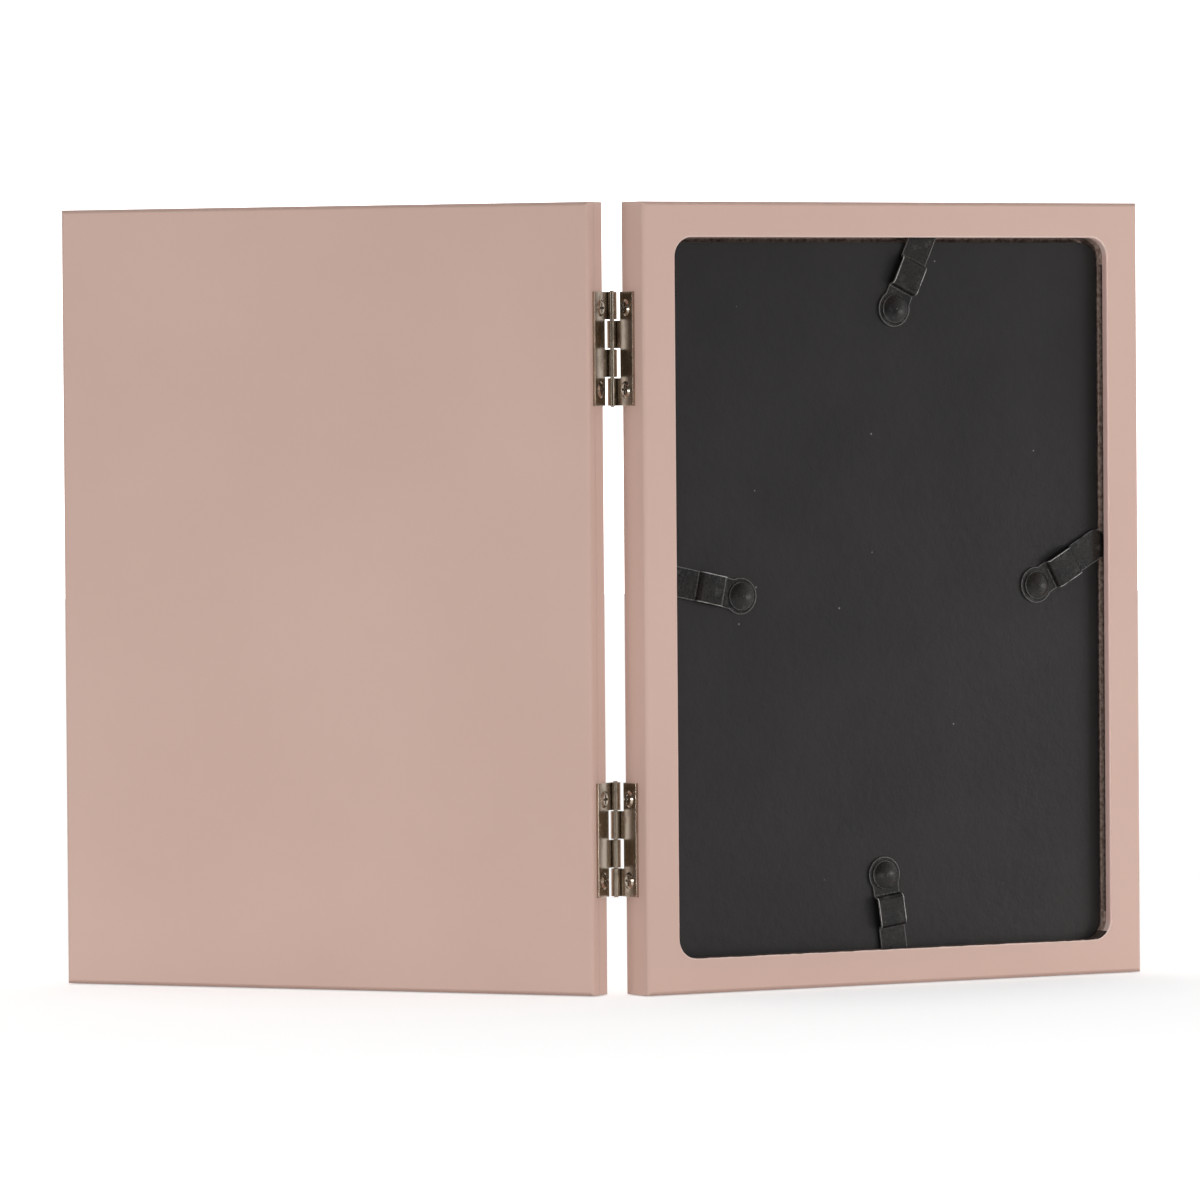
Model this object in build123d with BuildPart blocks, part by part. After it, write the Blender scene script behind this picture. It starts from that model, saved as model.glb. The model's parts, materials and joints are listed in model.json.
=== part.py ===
from build123d import *
from math import asin, cos, degrees, radians, sin, tan
import os

# Hinged double photo frame, standing open like a book.
# Left and right are as seen from behind. The right leaf's foot is centred on the origin: its back
# looks along -Y and its picture along +Y. The left leaf is folded towards the picture side.

# Prints and the window in front of each
print_width = 127.0
print_height = 178.0
print_thickness = 0.3
print_cover = 2.5
window_radius = 3.0
window_chamfer = 0.5

# Rebate round the stack, and the borders that it leaves on the back
print_play = 2.0
side_border = 9.5
end_border = 9.0
rebate_radius = 5.0
rebate_chamfer = 0.35
edge_radius = 1.0

# Layers, from the front of a leaf to its back
front_lip = 2.0
pane_thickness = 1.8
pane_play = 0.6
sheet_gap = 0.05
backing_thickness = 2.4
groove_height = 2.1
back_lip = 2.3
filler_thickness = 1.2
slot_play = 0.2
left_back_thickness = 3.4

# Groove in the rebate's walls, cut along the straight sides only
groove_play = 0.4
groove_inset = 7.0
groove_end_radius = 5.0

# Hinges
fold_angle = 55.4
hinge_length = 28.8
hinge_top_inset = 22.6
hinge_bottom_inset = 24.7
hinge_sheet = 0.7
pin_diameter = 1.1
pin_overhang = 0.3
running_clearance = 0.05
knuckle_count = 4
knuckle_gap = 0.25
knuckle_relief = 1.6
curl_angle = 285.0
axis_ahead = 2.2
plate_cover = 6.7

# Hinge screws
screw_inset = 4.1
screw_from_front = 3.2
screw_length = 8.0
screw_tip = 2.0
screw_shank_diameter = 2.0
screw_head_diameter = 4.3
screw_head_rise = 0.35
screw_flat_diameter = 3.1
screw_clearance = 0.05
cross_span = 2.6
cross_width = 0.6
cross_depth = 0.8
countersink_angle = 90.0

# Rivets: how far each stands from its wall of the rebate, and from the middle of that wall
rivet_top_inset = 18.15
rivet_right_inset = 20.0
rivet_bottom_inset = 18.85
rivet_left_inset = 21.05
rivet_top_shift = 2.35
rivet_right_shift = 1.3
rivet_bottom_shift = -1.75
rivet_left_shift = 0.1
rivet_shank_diameter = 3.0
rivet_head_diameter = 7.2
rivet_rim_height = 0.3
rivet_dome_height = 1.1
rivet_flare_diameter = 4.6

# Turn clips on the rivets
clip_gauge = 0.5
clip_width = 7.6
clip_eye_diameter = 9.2
clip_clearance = 0.1
clip_hump_start = 5.4
clip_hump_end = 13.2
clip_hump_rise = 1.8
clip_ramp = 0.55
clip_drop = 0.5
clip_bend_radius = 0.7
clip_tail_lift = 0.4
clip_reach = 24.2
clip_tail_radius = 2.6

# Each clip: where its tail points when it is square to its wall, and how far it is turned from there
clip_aim = {"top": 90.0, "right": 0.0, "bottom": 270.0, "left": 180.0}
clip_turn = {"top": -25.0, "right": 29.0, "bottom": 8.0, "left": -12.0}

# Sizes that follow from the ones above
rebate_width = print_width + 2 * print_play
rebate_height = print_height + 2 * print_play
rivet_inset = min(rivet_top_inset, rivet_right_inset, rivet_bottom_inset, rivet_left_inset)
groove_depth = clip_reach - rivet_inset + groove_play
groove_span_x = rebate_width + 2 * groove_depth
groove_span_z = rebate_height + 2 * groove_depth
window_width = print_width - 2 * print_cover
window_height = print_height - 2 * print_cover
leaf_width = rebate_width + 2 * side_border
leaf_height = rebate_height + 2 * end_border
pane_width = rebate_width - 2 * pane_play
pane_height = rebate_height - 2 * pane_play
pane_depth = front_lip
print_depth = pane_depth + pane_thickness + sheet_gap
backing_depth = print_depth + print_thickness + sheet_gap
board_back_depth = backing_depth + backing_thickness
leaf_thickness = board_back_depth + groove_height + back_lip
left_front_thickness = backing_depth + filler_thickness + slot_play
leaf_middle = leaf_height / 2
pane_middle = end_border + pane_height / 2

pin_radius = pin_diameter / 2
bore_radius = pin_radius + running_clearance
barrel_radius = bore_radius + hinge_sheet
plate_reach = axis_ahead + plate_cover
relief_edge = barrel_radius + knuckle_relief
knuckle_length = (hinge_length - (knuckle_count - 1) * knuckle_gap) / knuckle_count
hinge_base = {"upper": leaf_height - hinge_top_inset - hinge_length, "lower": hinge_bottom_inset}

head_radius = screw_head_diameter / 2
flat_radius = screw_flat_diameter / 2
shank_radius = screw_shank_diameter / 2

rivet_shank_radius = rivet_shank_diameter / 2
rivet_flare_radius = rivet_flare_diameter / 2
rivet_flare_height = (rivet_flare_radius - rivet_shank_radius) / tan(radians(countersink_angle / 2))
rivet_head_radius = rivet_head_diameter / 2
rivet_head_seat = clip_gauge + 2 * clip_clearance
eye_radius = clip_eye_diameter / 2
rivet_place = {
    "top": (rivet_top_shift, leaf_height - end_border - rivet_top_inset),
    "right": (rebate_width / 2 - rivet_right_inset, leaf_middle + rivet_right_shift),
    "bottom": (rivet_bottom_shift, end_border + rivet_bottom_inset),
    "left": (rivet_left_inset - rebate_width / 2, leaf_middle + rivet_left_shift),
}

# Hinge axis, and a plane on each leaf's front face: x to the right, y up, z towards the leaf's back
hinge_x = -(leaf_width / 2 + barrel_radius)
hinge_y = leaf_thickness / 2 + axis_ahead
hinge_foot = Vector(hinge_x, hinge_y, 0)
up = Vector(0, 0, 1)
right_leaf = Plane(origin=(0, leaf_thickness / 2, 0), x_dir=(1, 0, 0), z_dir=(0, -1, 0))
fold = radians(fold_angle)
left_along = Vector(cos(fold), -sin(fold), 0)
left_backward = Vector(-sin(fold), -cos(fold), 0)
left_foot = hinge_foot - left_along * (leaf_width / 2 + barrel_radius) + left_backward * axis_ahead
left_leaf = Plane(origin=left_foot, x_dir=left_along, z_dir=left_backward)

# The board of a leaf lies on this side of the hinge axis
sides = {"left": (left_leaf, -1), "right": (right_leaf, 1)}


def save(piece, name):
    piece.label = name
    export_step(piece, f"parts/{name}.step")


def from_front(part, leaf):
    """Faces in order from the leaf's front to its back."""
    return part.faces().sort_by(Axis(leaf.origin, leaf.z_dir))


def screw_seats(side, hinge):
    """Planes on the hinge plate's open face, one at each screw, looking out of the face."""
    leaf, sign = sides[side]
    outward = leaf.x_dir * -sign
    foot = hinge_foot - outward * (barrel_radius - hinge_sheet)
    foot += leaf.z_dir * (axis_ahead + screw_from_front)
    ends = (screw_inset, hinge_length - screw_inset)
    heights = [hinge_base[hinge] + end for end in ends]
    return [Plane(origin=foot + up * height, x_dir=up, z_dir=outward) for height in heights]


def cut_screw_holes(side):
    """Pilot holes in the edge of the open part, countersunk where the heads reach below the plates."""
    for hinge in hinge_base:
        for seat in screw_seats(side, hinge):
            with Locations(seat.offset(-hinge_sheet)):
                CounterSinkHole(
                    radius=shank_radius + screw_clearance,
                    counter_sink_radius=head_radius - hinge_sheet + screw_clearance,
                    depth=screw_length - hinge_sheet + screw_clearance,
                    counter_sink_angle=countersink_angle,
                )


def dome_arc(radius, foot, height):
    """Arc of a dome's section, from its rim up to the axis."""
    ball = (radius**2 + height**2) / (2 * height)
    rim_angle = degrees(asin((ball - height) / ball))
    CenterArc((0, foot + height - ball), ball, rim_angle, 90 - rim_angle)


def make_sheet(leaf, depth, width, height, thickness, middle, radius):
    """A flat sheet of the picture stack, with rounded corners if it has a radius."""
    with BuildPart() as sheet:
        with BuildSketch(leaf.offset(depth)):
            with Locations((0, middle)):
                if radius:
                    RectangleRounded(width, height, radius)
                else:
                    Rectangle(width, height)
        extrude(amount=thickness)
    return sheet.part


def make_hinge_plate(side, hinge, first_knuckle):
    """A plate with its rolled knuckles, every second one from first_knuckle up."""
    leaf, sign = sides[side]
    base = hinge_base[hinge]

    def section(height):
        """Level plane on the axis: x towards the plate, y towards the front."""
        return Plane(origin=hinge_foot + up * height, x_dir=leaf.x_dir * sign, z_dir=up * sign)

    with BuildPart() as plate:
        with BuildSketch(section(base)):
            with Locations((barrel_radius - hinge_sheet / 2, -(plate_reach + relief_edge) / 2)):
                Rectangle(hinge_sheet, plate_reach - relief_edge)
        extrude(amount=sign * hinge_length)
        for knuckle in range(first_knuckle, knuckle_count, 2):
            height = base + knuckle * (knuckle_length + knuckle_gap)
            with BuildSketch(section(height)):
                with BuildLine():
                    Polyline((bore_radius, 0), (bore_radius, -relief_edge),
                             (barrel_radius, -relief_edge), (barrel_radius, 0))
                    outside = CenterArc((0, 0), barrel_radius, 0, curl_angle)
                    inside = CenterArc((0, 0), bore_radius, 0, curl_angle)
                    Line(outside @ 1, inside @ 1)
                make_face()
            extrude(amount=sign * knuckle_length)
        with Locations(*screw_seats(side, hinge)):
            CounterSinkHole(
                radius=shank_radius + screw_clearance,
                counter_sink_radius=head_radius + screw_clearance,
                depth=hinge_sheet,
                counter_sink_angle=countersink_angle,
            )
    return plate.part


def make_screws(side, hinge):
    """The raised-head cross-slot screws of one hinge plate."""
    with BuildPart() as screws:
        for seat in screw_seats(side, hinge):
            lengthwise = Plane(origin=seat.origin, x_dir=seat.x_dir, z_dir=seat.x_dir.cross(seat.z_dir))
            with BuildSketch(lengthwise):
                with BuildLine():
                    Polyline(
                        (0, screw_head_rise),
                        (0, -screw_length),
                        (shank_radius, screw_tip - screw_length),
                        (shank_radius, shank_radius - head_radius),
                        (head_radius, 0),
                        (flat_radius, screw_head_rise),
                        close=True,
                    )
                make_face()
            revolve(axis=Axis(seat.origin, seat.z_dir))
        for seat in screw_seats(side, hinge):
            with BuildSketch(seat.offset(screw_head_rise)):
                Rectangle(cross_span, cross_width)
                Rectangle(cross_width, cross_span)
            extrude(amount=-cross_depth, mode=Mode.SUBTRACT)
    return screws.part


def clip_plane(place):
    """Plane on the backing board's back at a rivet: x along the clip, z out of the back."""
    board = right_leaf.offset(board_back_depth)
    angle = radians(clip_aim[place] + clip_turn[place])
    along = board.x_dir * cos(angle) + board.y_dir * sin(angle)
    return Plane(origin=board.from_local_coords(rivet_place[place]), x_dir=along, z_dir=board.z_dir)


def make_clip(place):
    """A clip bent from strip: an eye on the rivet, a raised hump and a low tail."""
    flat = clip_plane(place)
    edge_on = Plane(origin=flat.origin, x_dir=flat.x_dir, z_dir=-flat.y_dir)
    top = clip_clearance + clip_hump_rise
    tail = clip_clearance + clip_tail_lift
    with BuildPart() as clip:
        with BuildSketch(edge_on):
            with BuildLine():
                FilletPolyline(
                    (-eye_radius, clip_clearance),
                    (clip_hump_start, clip_clearance),
                    (clip_hump_start + clip_ramp, top),
                    (clip_hump_end - clip_drop, top),
                    (clip_hump_end, tail),
                    (clip_reach, tail),
                    radius=clip_bend_radius,
                )
                offset(amount=clip_gauge, side=Side.LEFT)
            make_face()
        extrude(amount=eye_radius, both=True)
        with BuildSketch(flat):
            Circle(eye_radius)
            with Locations((clip_reach / 2, 0)):
                strip = Rectangle(clip_reach, clip_width)
            fillet(strip.vertices().group_by(Axis.X)[-1], clip_tail_radius)
        extrude(amount=top + 2 * clip_gauge, mode=Mode.INTERSECT)
        with Locations(flat):
            Hole(radius=rivet_shank_radius + running_clearance)
    return clip.part


def make_rivet(place):
    """A domed rivet through a clip's eye, spread in a countersink in the board's inner face."""
    flat = clip_plane(place)
    edge_on = Plane(origin=flat.origin, x_dir=flat.x_dir, z_dir=-flat.y_dir)
    with BuildPart() as rivet:
        with BuildSketch(edge_on):
            with BuildLine():
                Polyline(
                    (0, rivet_head_seat + rivet_rim_height + rivet_dome_height),
                    (0, -backing_thickness),
                    (rivet_flare_radius, -backing_thickness),
                    (rivet_shank_radius, rivet_flare_height - backing_thickness),
                    (rivet_shank_radius, rivet_head_seat),
                    (rivet_head_radius, rivet_head_seat),
                    (rivet_head_radius, rivet_head_seat + rivet_rim_height),
                )
                dome_arc(rivet_head_radius, rivet_head_seat + rivet_rim_height, rivet_dome_height)
            make_face()
        revolve(axis=Axis(flat.origin, flat.z_dir))
    return rivet.part


os.makedirs("parts", exist_ok=True)

# Left leaf: a front board with window and slot, and a plain back panel
with BuildPart() as left_front_frame:
    with BuildSketch(left_leaf):
        with Locations((0, leaf_middle)):
            Rectangle(leaf_width, leaf_height)
    extrude(amount=left_front_thickness)
    fillet(from_front(left_front_frame, left_leaf)[0].edges(), edge_radius)
    with BuildSketch(left_leaf.offset(front_lip)):
        with Locations((0, leaf_middle)):
            RectangleRounded(rebate_width, rebate_height, rebate_radius)
        with Locations((0, leaf_middle + leaf_height / 4)):
            Rectangle(rebate_width, leaf_height / 2)
    extrude(amount=left_front_thickness - front_lip, mode=Mode.SUBTRACT)
    with BuildSketch(left_leaf):
        with Locations((0, leaf_middle)):
            RectangleRounded(window_width, window_height, window_radius)
    extrude(amount=front_lip, mode=Mode.SUBTRACT)
    chamfer(from_front(left_front_frame, left_leaf)[0].inner_wires()[0].edges(), window_chamfer)
    cut_screw_holes("left")
save(left_front_frame.part, "left_front_frame")

with BuildPart() as left_back_panel:
    with BuildSketch(left_leaf.offset(left_front_thickness)):
        with Locations((0, leaf_middle)):
            Rectangle(leaf_width, leaf_height)
    extrude(amount=left_back_thickness)
    fillet(from_front(left_back_panel, left_leaf)[-1].edges(), edge_radius)
save(left_back_panel.part, "left_back_panel")

# Right leaf: one board, with a rebate from the back and a groove under the rebate's back lip
with BuildPart() as right_frame:
    with BuildSketch(right_leaf):
        with Locations((0, leaf_middle)):
            Rectangle(leaf_width, leaf_height)
    extrude(amount=leaf_thickness)
    fillet(from_front(right_frame, right_leaf)[0].edges(), edge_radius)
    fillet(from_front(right_frame, right_leaf)[-1].edges(), edge_radius)
    with BuildSketch(right_leaf.offset(front_lip)):
        with Locations((0, leaf_middle)):
            RectangleRounded(rebate_width, rebate_height, rebate_radius)
    extrude(amount=leaf_thickness - front_lip, mode=Mode.SUBTRACT)
    chamfer(from_front(right_frame, right_leaf)[-1].inner_wires()[0].edges(), rebate_chamfer)
    with BuildSketch(right_leaf):
        with Locations((0, leaf_middle)):
            RectangleRounded(window_width, window_height, window_radius)
    extrude(amount=front_lip, mode=Mode.SUBTRACT)
    chamfer(from_front(right_frame, right_leaf)[0].inner_wires()[0].edges(), window_chamfer)
    with BuildSketch(right_leaf.offset(board_back_depth)):
        with Locations((0, leaf_middle)):
            RectangleRounded(groove_span_x, rebate_height - 2 * groove_inset, groove_end_radius)
            RectangleRounded(rebate_width - 2 * groove_inset, groove_span_z, groove_end_radius)
    extrude(amount=groove_height, mode=Mode.SUBTRACT)
    cut_screw_holes("right")
save(right_frame.part, "right_frame")

# Picture stacks: the panes stand on the foot of their rebate, the prints are centred in the windows
for side, (leaf, _) in sides.items():
    pane = make_sheet(
        leaf, pane_depth, pane_width, pane_height, pane_thickness, pane_middle, rebate_radius)
    save(pane, f"{side}_pane")
    picture = make_sheet(leaf, print_depth, print_width, print_height, print_thickness, leaf_middle, 0)
    save(picture, f"{side}_print")
filler = make_sheet(
    left_leaf, backing_depth, pane_width, pane_height, filler_thickness, pane_middle, rebate_radius)
save(filler, "left_filler_card")

with BuildPart() as backing_board:
    with BuildSketch(right_leaf.offset(backing_depth)):
        with Locations((0, pane_middle)):
            RectangleRounded(pane_width, pane_height, rebate_radius)
    extrude(amount=backing_thickness)
    for place in rivet_place:
        seat = clip_plane(place).offset(-backing_thickness)
        with Locations(Plane(origin=seat.origin, x_dir=seat.x_dir, z_dir=-seat.z_dir)):
            CounterSinkHole(
                radius=rivet_shank_radius + running_clearance,
                counter_sink_radius=rivet_flare_radius + running_clearance,
                counter_sink_angle=countersink_angle,
            )
save(backing_board.part, "backing_board")

for place in rivet_place:
    save(make_clip(place), f"turn_clip_{place}")
    save(make_rivet(place), f"clip_rivet_{place}")

# Hinges: the knuckles alternate, the lowest one on the right leaf
for hinge, base in hinge_base.items():
    for side, first_knuckle in (("left", 1), ("right", 0)):
        save(make_hinge_plate(side, hinge, first_knuckle), f"{hinge}_hinge_{side}_plate")
        save(make_screws(side, hinge), f"{hinge}_hinge_{side}_screws")
    with BuildPart() as hinge_pin:
        with BuildSketch(Plane(origin=hinge_foot + up * (base - pin_overhang))):
            Circle(pin_radius)
        extrude(amount=hinge_length + 2 * pin_overhang)
    save(hinge_pin.part, f"{hinge}_hinge_pin")
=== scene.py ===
import json
from math import cos, radians, sin

import bmesh
import bpy
from mathutils import Matrix, Vector


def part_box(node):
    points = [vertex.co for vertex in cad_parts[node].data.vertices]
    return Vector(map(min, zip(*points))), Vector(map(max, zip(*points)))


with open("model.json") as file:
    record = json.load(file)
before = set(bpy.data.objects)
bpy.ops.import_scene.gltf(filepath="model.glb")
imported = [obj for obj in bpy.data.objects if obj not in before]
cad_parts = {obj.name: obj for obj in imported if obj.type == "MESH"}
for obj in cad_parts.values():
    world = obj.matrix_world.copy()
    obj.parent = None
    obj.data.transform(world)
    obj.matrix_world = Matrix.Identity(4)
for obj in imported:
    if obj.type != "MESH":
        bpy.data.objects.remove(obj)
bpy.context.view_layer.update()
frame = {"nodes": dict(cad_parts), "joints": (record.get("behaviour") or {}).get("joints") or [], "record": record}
nodes = frame["nodes"]
record = frame["record"]

mm = 0.001

# A noise texture lies mostly between these values
noise_low = 0.3
noise_high = 0.7

# Camera, fitted to the outlines in the photo: metres, degrees and pixels of a square picture
image_size = 1200
focal_pixels = 8779.5
sensor_width = 36.0
camera_distance = 2.2170
camera_aside = -0.00354
camera_height = 0.1568
camera_pitch = 1.478
camera_roll = -0.436
leaf_turn = 30.782

# Directions in the row frame, as the camera sees them
turn = radians(leaf_turn)
rightward = Vector((cos(turn), -sin(turn), 0.0))
away = Vector((sin(turn), cos(turn), 0.0))
upward = Vector((0.0, 0.0, 1.0))
fold_joint = next(joint for joint in frame["joints"] if joint["name"] == "leaf_fold")
spine = Vector(fold_joint["pos_m"])

# Stage: metres, and levels where 1 is white
floor_radius = 4.0
floor_segments = 96
floor_drop = 0.2 * mm
table_white = (0.86, 0.86, 0.86, 1.0)
table_far = (0.10, 0.10, 0.10, 1.0)
table_near_radius = 0.35
table_far_radius = 1.00
table_glow = 0.47
mirror_near_radius = 0.20
mirror_far_radius = 0.55
sky_level = 0.62
sky_dark_top = 0.75
sky_dim_start = 0.1
sky_dim_end = 0.8
room_dark = 0.12
# Cosines to the line of sight between which the stage in reflections turns from dark to white
floor_turn = (-0.3, 0.2)
sky_turn = (-0.5, 0.3)
# Patches of sky: degrees to the right of the camera, one less the cosine of the edge, and level.
# The fills add light in shares of sky_level, and the mirrored ones show only in reflections
sky_fills = ((-30.0, 0.7, 0.8), (45.0, 0.25, 0.3), (180.0, 0.9, 2.8))
mirror_patches = ((-36.0, 0.06, 1.9), (24.0, 0.015, 2.2), (72.0, 0.35, 0.90))
# Soft boxes: metres rightward, away from the camera and up from the spine's foot, width, height and watts
soft_boxes = {
    "left_box": (-0.62, -0.42, 0.02, 0.4, 0.15, 2.15),
    "side_box": (0.80, -0.04, 0.03, 0.3, 0.1, 0.8),
    "low_box": (0.55, -0.57, 0.03, 0.2, 0.1, 2.9),
    "top_box": (0.0, 0.0, 1.4, 1.0, 1.0, 4.0),
}
lamp_target_height = 0.05
lamps_without_gloss = ("low_box",)

# Paint, board, clips and the rest: linear colours
pink_light = (0.612, 0.424, 0.360, 1.0)
pink_deep = (0.588, 0.402, 0.340, 1.0)
pink_worn = (0.30, 0.19, 0.15, 1.0)
# Painted highlight for the rebate's arris
pink_arris_painted_highlight = (0.80, 0.66, 0.60, 1.0)
# Painted light: a lighter pink for the lip's wall
pink_wall_painted_light = (0.82, 0.55, 0.49, 1.0)
# Painted shade for the outer rounded edges
pink_rim_painted_shade = (0.40, 0.27, 0.23, 1.0)
fibre_light = (0.50, 0.37, 0.31, 1.0)
fibre_dark = (0.22, 0.145, 0.118, 1.0)
# Painted shade on the bare fibres deep in the rebate
fibre_painted_shade = (0.02, 0.014, 0.011, 1.0)
board_black = (0.0085, 0.0079, 0.0080, 1.0)
board_grey = (0.0125, 0.0118, 0.0117, 1.0)
board_sheen = (1.0, 0.955, 0.94, 1.0)
dust_grey = (0.16, 0.155, 0.15, 1.0)
lacquer_black = (0.007, 0.0068, 0.0066, 1.0)
lacquer_brown = (0.016, 0.013, 0.011, 1.0)
lacquer_smeared = (0.05, 0.048, 0.045, 1.0)
# Clip edges: rubbed bare steel and a painted highlight
steel_bare_highlight = (0.72, 0.70, 0.67, 1.0)
nickel_bright = (0.47, 0.395, 0.315, 1.0)
nickel_stained = (0.33, 0.262, 0.198, 1.0)
# Hinge edges: rubbed plate and a painted highlight
nickel_rubbed_and_highlight = (0.70, 0.65, 0.59, 1.0)
paper_white = (0.84, 0.825, 0.79, 1.0)
paper_shade = (0.80, 0.78, 0.74, 1.0)
card_light = (0.40, 0.385, 0.36, 1.0)
card_dark = (0.24, 0.23, 0.215, 1.0)
glass_tint = (0.99, 0.995, 0.993, 1.0)
white = (1.0, 1.0, 1.0, 1.0)


def add_node(tree, kind, inputs=(), **settings):
    """Adds a shader node. An input is a value, or the output of another node to link from."""
    node = tree.nodes.new("ShaderNode" + kind)
    for name, value in settings.items():
        setattr(node, name, value)
    for key, value in dict(inputs).items():
        if isinstance(value, bpy.types.NodeSocket):
            tree.links.new(value, node.inputs[key])
        else:
            node.inputs[key].default_value = value
    return node


def calc(tree, operation, *values):
    return add_node(tree, "Math", enumerate(values), operation=operation).outputs[0]


def ramp(tree, value, start, end, low=0.0, high=1.0):
    """Goes smoothly from low to high as the value goes from start to end."""
    inputs = {"Value": value, "From Min": start, "From Max": end, "To Min": low, "To Max": high}
    return add_node(tree, "MapRange", inputs, interpolation_type="SMOOTHSTEP").outputs["Result"]


def spread(tree, value, low=0.0, high=1.0):
    """Stretches a noise texture over low to high."""
    return ramp(tree, value, noise_low, noise_high, low, high)


def mix(tree, factor, first, second):
    """Mixes two colours: sockets 0, 6 and 7 are the factor and the colours."""
    return add_node(tree, "Mix", {0: factor, 6: first, 7: second}, data_type="RGBA").outputs[2]


def noise(tree, place, scale, detail=2.0):
    inputs = {"Vector": place, "Scale": scale, "Detail": detail}
    return add_node(tree, "TexNoise", inputs).outputs["Fac"]


def specks(tree, place, scale, size, share):
    """Small round spots in this share of the cells of a lattice, with size as their radius in cells."""
    cells = add_node(tree, "TexVoronoi", {"Vector": place, "Scale": scale})
    chance = add_node(tree, "SeparateColor", {"Color": cells.outputs["Color"]}).outputs[0]
    chosen = calc(tree, "LESS_THAN", chance, share)
    core = 0.4
    spot = ramp(tree, cells.outputs["Distance"], size, core * size)
    return calc(tree, "MULTIPLY", chosen, spot)


def cosine(tree, first, second):
    """The cosine between two unit directions."""
    inputs = {0: first, 1: second}
    return add_node(tree, "VectorMath", inputs, operation="DOT_PRODUCT").outputs["Value"]


def bump(tree, height, distance, strength, normal=None):
    inputs = {"Height": height, "Distance": distance, "Strength": strength}
    if normal:
        inputs["Normal"] = normal
    return add_node(tree, "Bump", inputs).outputs["Normal"]


def soft_edges(tree, radius, full=0.85):
    """The normal over edges rounded to this radius, and how near a point lies to such an edge.

    Full is the cosine of the tilt from which a point counts as on the edge.
    """
    rounded = add_node(tree, "Bevel", {"Radius": radius}, samples=6).outputs["Normal"]
    plain = add_node(tree, "NewGeometry").outputs["Normal"]
    untouched = 0.995
    return rounded, ramp(tree, cosine(tree, rounded, plain), untouched, full)


def new_material(name):
    """An empty material, its place socket in the row frame at rest, and its Principled shader."""
    material = bpy.data.materials.new(name)
    material.use_nodes = True
    tree = material.node_tree
    tree.nodes.clear()
    shader = add_node(tree, "BsdfPrincipled")
    output = add_node(tree, "OutputMaterial")
    tree.links.new(shader.outputs["BSDF"], output.inputs["Surface"])
    place = add_node(tree, "TexCoord").outputs["Object"]
    return material, tree, place, shader


def join(tree, shader, **sockets):
    for name, value in sockets.items():
        tree.links.new(value, shader.inputs[name.replace("_", " ")])


def raw_rebate(tree, place):
    """Masks for the right leaf's rebate: bare inside, its painted shade, the lip's wall that is painted lighter,
    all within the rim.
    """
    low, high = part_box("right_frame")
    board_low, board_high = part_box("backing_board")
    pane_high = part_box("right_pane")[1]
    groove_height = 2.1 * mm
    corner = 5.0 * mm
    ragged = 0.35 * mm
    rim = 1.5 * mm
    board_play = 0.6 * mm
    skin = 0.05 * mm
    foot_depth = 2.0 * mm
    # Painted shade along the foot of the rebate
    foot_dark = 0.85
    # Painted shade: where it starts and ends and how dark it gets under the lip and behind the board
    lip_shade_start = 0.95 * mm
    lip_shade_end = 1.2 * mm
    lip_shade_level = 0.5
    deep_start = 0.2 * mm
    deep_end = 0.8 * mm
    deep_dark = 0.4
    wall_depth = 0.3 * mm
    wander_middle = 0.35
    wall_x = board_high.x + board_play
    wall_z = (board_high.z - board_low.z) / 2 + board_play
    axes = add_node(tree, "SeparateXYZ", {"Vector": place})
    x, y, z = axes.outputs
    wander = noise(tree, place, scale=320.0, detail=3.0)
    shift = calc(tree, "MULTIPLY", calc(tree, "SUBTRACT", wander, wander_middle), ragged)
    foot = calc(tree, "LESS_THAN", z, board_low.z + foot_depth)
    edge_y = calc(tree, "SUBTRACT", board_low.y - groove_height, shift)
    edge_y = calc(tree, "SUBTRACT", edge_y, calc(tree, "MULTIPLY", foot, foot_depth))
    above = calc(tree, "GREATER_THAN", y, edge_y)
    below = calc(tree, "LESS_THAN", y, pane_high.y + skin)
    middle_z = (low.z + high.z) / 2
    out_x = calc(tree, "ABSOLUTE", x)
    out_z = calc(tree, "ABSOLUTE", calc(tree, "SUBTRACT", z, middle_z))
    inside_x = calc(tree, "LESS_THAN", out_x, high.x - rim)
    inside_z = calc(tree, "LESS_THAN", out_z, high.z - middle_z - rim)
    inner = calc(tree, "MULTIPLY", inside_x, inside_z)
    mask = calc(tree, "MULTIPLY", calc(tree, "MULTIPLY", above, below), inner)
    round_x = calc(tree, "MAXIMUM", calc(tree, "SUBTRACT", out_x, wall_x - corner), 0.0)
    round_z = calc(tree, "MAXIMUM", calc(tree, "SUBTRACT", out_z, wall_z - corner), 0.0)
    flat = add_node(tree, "CombineXYZ", {"X": round_x, "Z": round_z}).outputs["Vector"]
    reach = add_node(tree, "VectorMath", {0: flat}, operation="LENGTH").outputs["Value"]
    past_wall = calc(tree, "SUBTRACT", reach, corner)
    # Painted shade in the rebate: darker under the lip's edge, deeper behind the board, and along the foot
    under_lip = calc(tree, "ADD", past_wall, shift)
    under_lip = ramp(tree, under_lip, lip_shade_start, lip_shade_end, 0.0, lip_shade_level)
    past_board = ramp(tree, y, board_low.y + deep_start, board_low.y + deep_end, 0.0, deep_dark)
    dark = calc(tree, "MAXIMUM", under_lip, past_board)
    dark = calc(tree, "MAXIMUM", dark, calc(tree, "MULTIPLY", foot, foot_dark))
    past_back = calc(tree, "GREATER_THAN", y, low.y + skin)
    in_lip = calc(tree, "MULTIPLY", past_back, calc(tree, "LESS_THAN", y, edge_y))
    wall = calc(tree, "MULTIPLY", calc(tree, "LESS_THAN", past_wall, wall_depth), in_lip)
    return mask, dark, wall, inner


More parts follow.
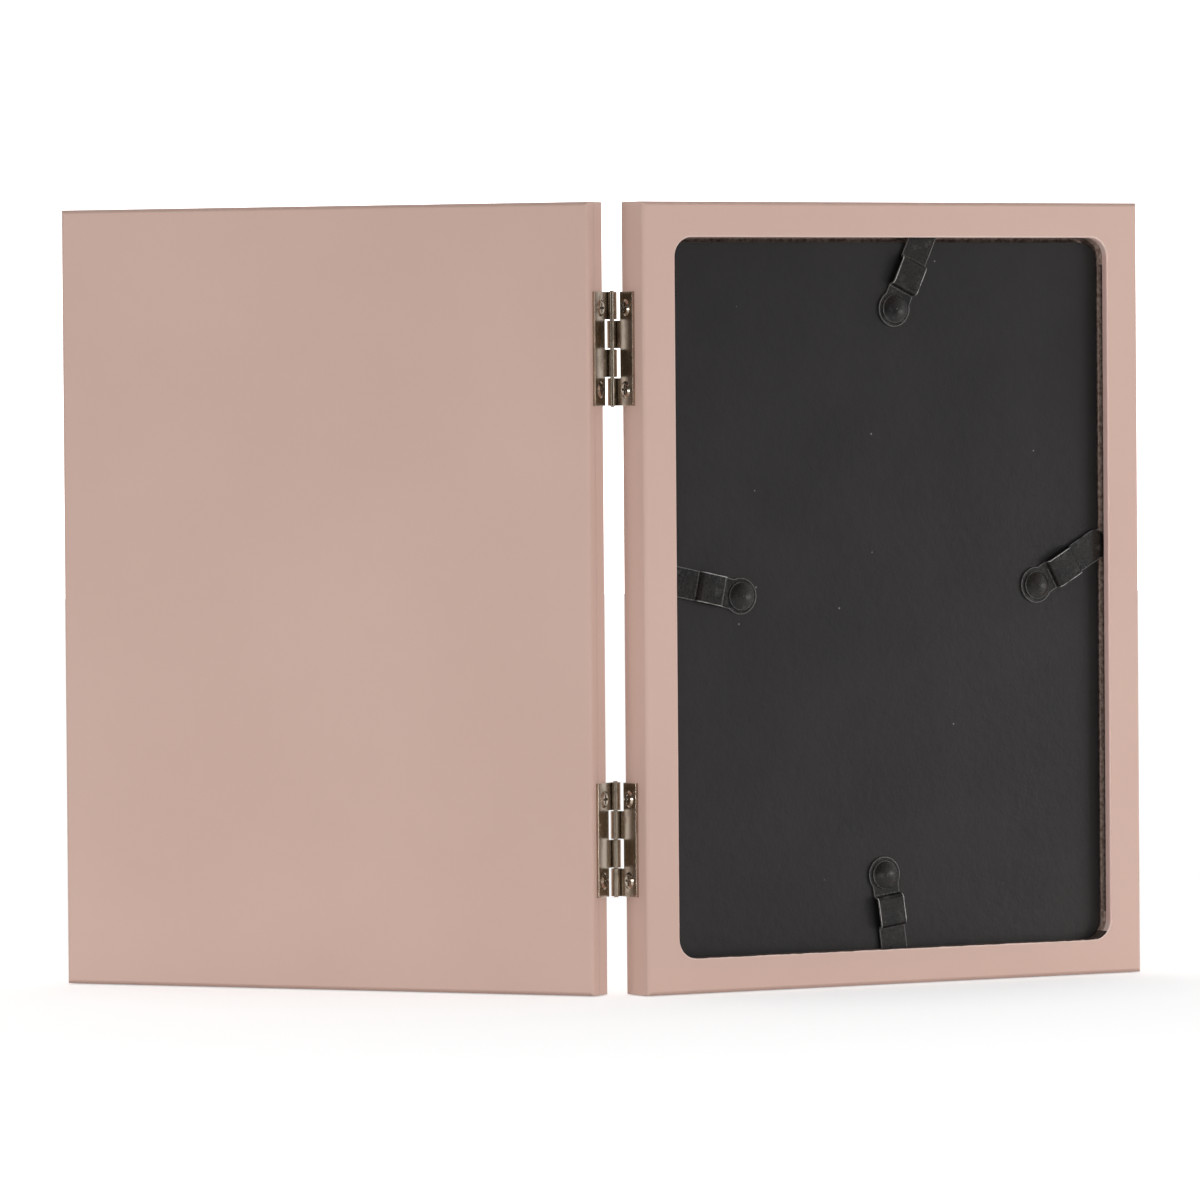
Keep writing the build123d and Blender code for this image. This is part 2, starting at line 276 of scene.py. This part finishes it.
def painted_board():
    """Satin pink paint on board: faint clouding, spray texture, a few flecks, worn edges, raw groove, with painted
    highlight and shade on edges, painted light on the lip's wall and painted shade in the groove.
    """
    material, tree, place, shader = new_material("painted_board")
    fleck_tone = 0.5
    edge_tone = 0.6
    grain_height = 0.5
    fibre_height = 6.0
    bare_roughness = 0.9
    clouds = spread(tree, noise(tree, place, scale=14.0, detail=4.0))
    paint = mix(tree, clouds, pink_deep, pink_light)
    normal, edge = soft_edges(tree, radius=0.45 * mm)
    dots = calc(tree, "MULTIPLY", specks(tree, place, scale=90.0, size=0.10, share=0.16), edge)
    paint = mix(tree, dots, paint, pink_worn)
    flecks = specks(tree, place, scale=28.0, size=0.014, share=0.12)
    paint = mix(tree, calc(tree, "MULTIPLY", flecks, fleck_tone), paint, pink_worn)
    groove, rebate_shade, wall, inner = raw_rebate(tree, place)
    # The lip's wall is painted a lighter pink, standing in for light on it
    paint = mix(tree, wall, paint, pink_wall_painted_light)
    # Up to 1 partway round an edge that is rounded between an upright face and a level one, 0 on either face; it
    # joins the edge mask that carries the painted edge highlight and shade
    facing = add_node(tree, "TexCoord").outputs["Normal"]
    level = calc(tree, "ABSOLUTE", add_node(tree, "SeparateXYZ", {"Vector": facing}).outputs["Z"])
    tilted = calc(tree, "MULTIPLY", level, calc(tree, "SUBTRACT", 1.0, level))
    tilted = calc(tree, "MULTIPLY", tilted, 4.0)
    edge = calc(tree, "MAXIMUM", edge, tilted)
    # Painted edge light: within the rim the rebate's arris is painted paler as a highlight, outside it the rounded
    # edges are painted darker as shade
    edge_highlight_and_shade = mix(tree, inner, pink_rim_painted_shade, pink_arris_painted_highlight)
    paint = mix(tree, calc(tree, "MULTIPLY", edge, edge_tone), paint, edge_highlight_and_shade)
    fibres = ramp(tree, noise(tree, place, scale=900.0, detail=5.0), 0.32, 0.68)
    bare = mix(tree, fibres, fibre_dark, fibre_light)
    # Painted shade: the bare fibres are darkened under the lip, behind the board and along the foot
    bare = mix(tree, rebate_shade, bare, fibre_painted_shade)
    colour = mix(tree, groove, paint, bare)
    peel = noise(tree, place, scale=650.0, detail=3.0)
    grain = noise(tree, place, scale=2600.0, detail=2.0)
    height = calc(tree, "ADD", peel, calc(tree, "MULTIPLY", grain, grain_height))
    raised = calc(tree, "MULTIPLY", groove, calc(tree, "MULTIPLY", fibres, fibre_height))
    height = calc(tree, "ADD", height, raised)
    normal = bump(tree, height, distance=0.05 * mm, strength=0.22, normal=normal)
    satin = spread(tree, peel, low=0.50, high=0.58)
    shader.inputs["Specular IOR Level"].default_value = 0.3
    rough = calc(tree, "MAXIMUM", satin, calc(tree, "MULTIPLY", groove, bare_roughness))
    join(tree, shader, Base_Color=colour, Roughness=rough, Normal=normal)
    return material


def black_board():
    """Matt black hardboard with a fine grain and a little dust."""
    material, tree, place, shader = new_material("black_board")
    fibre_height = 2.0
    clouds = spread(tree, noise(tree, place, scale=30.0, detail=5.0))
    colour = mix(tree, clouds, board_black, board_grey)
    dust = specks(tree, place, scale=200.0, size=0.07, share=0.10)
    colour = mix(tree, dust, colour, dust_grey)
    grain = noise(tree, place, scale=1500.0, detail=5.0)
    fibres = noise(tree, place, scale=420.0, detail=4.0)
    height = calc(tree, "ADD", grain, calc(tree, "MULTIPLY", fibres, fibre_height))
    normal = bump(tree, height, distance=0.08 * mm, strength=0.5)
    shader.inputs["Specular IOR Level"].default_value = 0.32
    shader.inputs["Specular Tint"].default_value = board_sheen
    rough = spread(tree, grain, low=0.40, high=0.48)
    join(tree, shader, Base_Color=colour, Roughness=rough, Normal=normal)
    return material


def black_clip():
    """Satin black lacquer on spring steel, smeared in places; edges that stand proud are rubbed bare and painted
    pale as a highlight.
    """
    material, tree, place, shader = new_material("black_clip")
    tone = ramp(tree, noise(tree, place, scale=180.0, detail=3.0), 0.35, 0.7)
    colour = mix(tree, tone, lacquer_black, lacquer_brown)
    normal, edge = soft_edges(tree, radius=0.36 * mm, full=0.95)
    smears = ramp(tree, noise(tree, place, scale=420.0, detail=4.0), 0.55, 0.75, low=0.0, high=0.7)
    colour = mix(tree, smears, colour, lacquer_smeared)
    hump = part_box("turn_clip_top")[0].y
    flush_y = hump + 0.9 * mm
    proud_y = hump + 0.2 * mm
    y = add_node(tree, "SeparateXYZ", {"Vector": place}).outputs["Y"]
    proud = ramp(tree, y, flush_y, proud_y, low=0.3, high=1.0)
    rubbed = ramp(tree, noise(tree, place, scale=300.0, detail=3.0), 0.25, 0.48)
    rubbed = calc(tree, "MULTIPLY", edge, rubbed)
    # Pale edges: rubbed bare steel, and a painted highlight where light would catch them
    colour = mix(tree, calc(tree, "MULTIPLY", rubbed, proud), colour, steel_bare_highlight)
    dust = specks(tree, place, scale=700.0, size=0.12, share=0.05)
    colour = mix(tree, dust, colour, dust_grey)
    grain = noise(tree, place, scale=2200.0, detail=3.0)
    normal = bump(tree, grain, distance=0.04 * mm, strength=0.25, normal=normal)
    shader.inputs["Specular IOR Level"].default_value = 0.27
    rough = spread(tree, grain, low=0.24, high=0.34)
    join(tree, shader, Base_Color=colour, Roughness=rough, Normal=normal)
    return material


def nickel(name="nickel", gloss=0.0):
    """Nickel plate: drawn lines along the hinge, brown stain in patches, edges lighter as rubbed plate and painted
    highlight. Gloss takes roughness off.
    """
    material, tree, place, shader = new_material(name)
    shader.inputs["Metallic"].default_value = 1.0
    drawn_out = (1.0, 1.0, 0.03)
    stain_roughness = 0.10
    patches = ramp(tree, noise(tree, place, scale=240.0, detail=4.0), 0.42, 0.72)
    colour = mix(tree, patches, nickel_bright, nickel_stained)
    drawn = add_node(tree, "Mapping", {"Vector": place, "Scale": drawn_out}).outputs["Vector"]
    lines = noise(tree, drawn, scale=5200.0, detail=3.0)
    normal, edge = soft_edges(tree, radius=0.12 * mm)
    # Lighter edges: rubbed plate and a painted highlight
    colour = mix(tree, edge, colour, nickel_rubbed_and_highlight)
    normal = bump(tree, lines, distance=0.004 * mm, strength=0.30, normal=normal)
    rough = spread(tree, lines, low=0.17 - gloss, high=0.23 - gloss)
    rough = calc(tree, "ADD", rough, calc(tree, "MULTIPLY", patches, stain_roughness))
    join(tree, shader, Base_Color=colour, Roughness=rough, Normal=normal)
    return material


def print_paper():
    """A bare sheet of photo paper, faintly uneven."""
    material, tree, place, shader = new_material("print_paper")
    clouds = spread(tree, noise(tree, place, scale=60.0, detail=5.0))
    colour = mix(tree, clouds, paper_shade, paper_white)
    grain = noise(tree, place, scale=3000.0, detail=3.0)
    normal = bump(tree, grain, distance=0.01 * mm, strength=0.1)
    rough = spread(tree, grain, low=0.45, high=0.6)
    join(tree, shader, Base_Color=colour, Roughness=rough, Normal=normal)
    return material


def grey_card():
    """Greyboard made of pulp, with light and dark fibres."""
    material, tree, place, shader = new_material("grey_card")
    fibres = ramp(tree, noise(tree, place, scale=1200.0, detail=6.0), 0.35, 0.65)
    colour = mix(tree, fibres, card_dark, card_light)
    normal = bump(tree, fibres, distance=0.05 * mm, strength=0.4)
    shader.inputs["Roughness"].default_value = 0.9
    join(tree, shader, Base_Color=colour, Normal=normal)
    return material


def clear_pane():
    """Clear glass. Lamps shine through it, so that it doesn't darken the print."""
    material, tree, place, shader = new_material("clear_pane")
    shader.inputs["Base Color"].default_value = glass_tint
    shader.inputs["Transmission Weight"].default_value = 1.0
    shader.inputs["IOR"].default_value = 1.5
    smears = ramp(tree, noise(tree, place, scale=25.0, detail=5.0), 0.45, 0.8, low=0.0, high=0.04)
    join(tree, shader, Roughness=smears)
    clear = add_node(tree, "BsdfTransparent", {"Color": glass_tint})
    paths = add_node(tree, "LightPath")
    through = calc(tree, "MAXIMUM", paths.outputs["Is Shadow Ray"], paths.outputs["Is Diffuse Ray"])
    both = add_node(tree, "MixShader", {0: through, 1: shader.outputs["BSDF"], 2: clear.outputs["BSDF"]})
    output = next(node for node in tree.nodes if node.type == "OUTPUT_MATERIAL")
    tree.links.new(both.outputs["Shader"], output.inputs["Surface"])
    return material


def dress_nodes():
    """Gives every node the finish that its material slot names, and the screws a glossier nickel."""
    makers = (painted_board, black_board, black_clip, nickel, print_paper, grey_card, clear_pane)
    finishes = {maker.__name__: maker() for maker in makers}
    screw_finish = nickel("nickel_screws", gloss=0.07)
    for subpart in record["subparts"]:
        finish = finishes[subpart["material_slot"]]
        if subpart["node"].endswith("screws"):
            finish = screw_finish
        for slot in nodes[subpart["node"]].material_slots:
            slot.material = finish


def add_object(name, data):
    thing = bpy.data.objects.new(name, data)
    bpy.context.scene.collection.objects.link(thing)
    return thing


def add_camera():
    data = bpy.data.cameras.new("camera")
    data.sensor_width = sensor_width
    data.lens = focal_pixels / image_size * sensor_width
    camera = add_object("camera", data)
    place = spine + rightward * camera_aside - away * camera_distance
    place.z = camera_height
    heading = Matrix.Rotation(-turn, 4, "Z")
    pitch = Matrix.Rotation(radians(90.0 - camera_pitch), 4, "X")
    roll = Matrix.Rotation(radians(camera_roll), 4, "Z")
    camera.matrix_world = Matrix.Translation(place) @ heading @ pitch @ roll
    bpy.context.scene.camera = camera


def seen_directly(tree, mirrored=0.0):
    """1 for rays that look at the stage straight or through glass, and mirrored for those in a reflection."""
    paths = add_node(tree, "LightPath").outputs
    straight = calc(tree, "MAXIMUM", paths["Is Camera Ray"], paths["Is Transmission Ray"])
    reflected = calc(tree, "MULTIPLY", paths["Is Glossy Ray"], mirrored)
    return calc(tree, "MAXIMUM", straight, reflected)


def add_floor():
    """A white table top, brightened to white where it is looked at, with the frame's shadow on it."""
    mesh = bpy.data.meshes.new("floor")
    shape = bmesh.new()
    bmesh.ops.create_circle(shape, cap_ends=True, segments=floor_segments, radius=floor_radius)
    shape.to_mesh(mesh)
    shape.free()
    floor = add_object("floor", mesh)
    floor.location.z = -floor_drop
    material = bpy.data.materials.new("white_table")
    material.use_nodes = True
    tree = material.node_tree
    tree.nodes.clear()
    place = add_node(tree, "TexCoord").outputs["Object"]
    reach = add_node(tree, "VectorMath", {0: place}, operation="LENGTH").outputs["Value"]
    heading = add_node(tree, "VectorMath", {0: place}, operation="NORMALIZE").outputs["Vector"]
    behind = ramp(tree, cosine(tree, heading, away), *floor_turn)
    near = ramp(tree, reach, mirror_far_radius, mirror_near_radius)
    mirrored = calc(tree, "MAXIMUM", behind, near)
    far = ramp(tree, reach, table_near_radius, table_far_radius)
    matt = add_node(tree, "BsdfDiffuse", {"Color": mix(tree, far, table_white, table_far)})
    lift = ramp(tree, reach, table_near_radius, table_far_radius, table_glow, 1.0)
    strength = calc(tree, "MULTIPLY", seen_directly(tree, mirrored), lift)
    glow = add_node(tree, "Emission", {"Strength": strength})
    both = add_node(tree, "AddShader", {0: matt.outputs["BSDF"], 1: glow.outputs["Emission"]})
    add_node(tree, "OutputMaterial", {"Surface": both.outputs["Shader"]})
    mesh.materials.append(material)


def sky_patch(tree, heading, angle, width, level):
    """A soft round patch of sky, this many degrees to the right of the camera."""
    centre = rightward * sin(radians(angle)) - away * cos(radians(angle))
    return ramp(tree, cosine(tree, heading, centre), 1.0 - width, 1.0, 0.0, level)


def add_world():
    """White where it is looked at, and dark with a few bright patches in reflections of the camera's side.

    As light, it is dimmer overhead and brightest in wide patches beside the camera and behind the frame.
    """
    world = bpy.data.worlds.new("studio")
    bpy.context.scene.world = world
    world.use_nodes = True
    tree = world.node_tree
    tree.nodes.clear()
    heading = add_node(tree, "TexCoord").outputs["Generated"]
    height = add_node(tree, "SeparateXYZ", {"Vector": heading}).outputs["Z"]
    light = 1.0
    for angle, width, level in sky_fills:
        light = calc(tree, "ADD", light, sky_patch(tree, heading, angle, width, level))
    top = ramp(tree, height, sky_dim_start, sky_dim_end, 1.0, 1.0 - sky_dark_top)
    light = calc(tree, "MULTIPLY", calc(tree, "MULTIPLY", light, top), sky_level)
    behind = ramp(tree, cosine(tree, heading, away), *sky_turn)
    mirrored = calc(tree, "MAXIMUM", behind, room_dark)
    for angle, width, level in mirror_patches:
        mirrored = calc(tree, "MAXIMUM", mirrored, sky_patch(tree, heading, angle, width, level))
    paths = add_node(tree, "LightPath")
    shown = add_node(tree, "Mix", {0: paths.outputs["Is Glossy Ray"], 2: light, 3: mirrored}).outputs[0]
    strength = calc(tree, "MAXIMUM", shown, seen_directly(tree))
    background = add_node(tree, "Background", {"Color": white, "Strength": strength})
    add_node(tree, "OutputWorld", {"Surface": background.outputs["Background"]})


def add_lamp(name, place, target, width, height, power):
    """A soft box at place, facing target."""
    data = bpy.data.lights.new(name, "AREA")
    data.shape = "RECTANGLE"
    data.size = width
    data.size_y = height
    data.energy = power
    lamp = add_object(name, data)
    lamp.location = place
    lamp.rotation_euler = (target - place).to_track_quat("-Z", "Y").to_euler()
    return lamp


def add_lamps():
    """Adds the soft boxes, all facing the spine."""
    target = spine + upward * lamp_target_height
    for name, (aside, back, rise, width, height, power) in soft_boxes.items():
        place = spine + rightward * aside + away * back + upward * rise
        lamp = add_lamp(name, place, target, width, height, power)
        lamp.visible_glossy = name not in lamps_without_gloss


dress_nodes()
add_floor()
add_world()
add_lamps()
add_camera()
bpy.context.scene.view_settings.view_transform = "Standard"
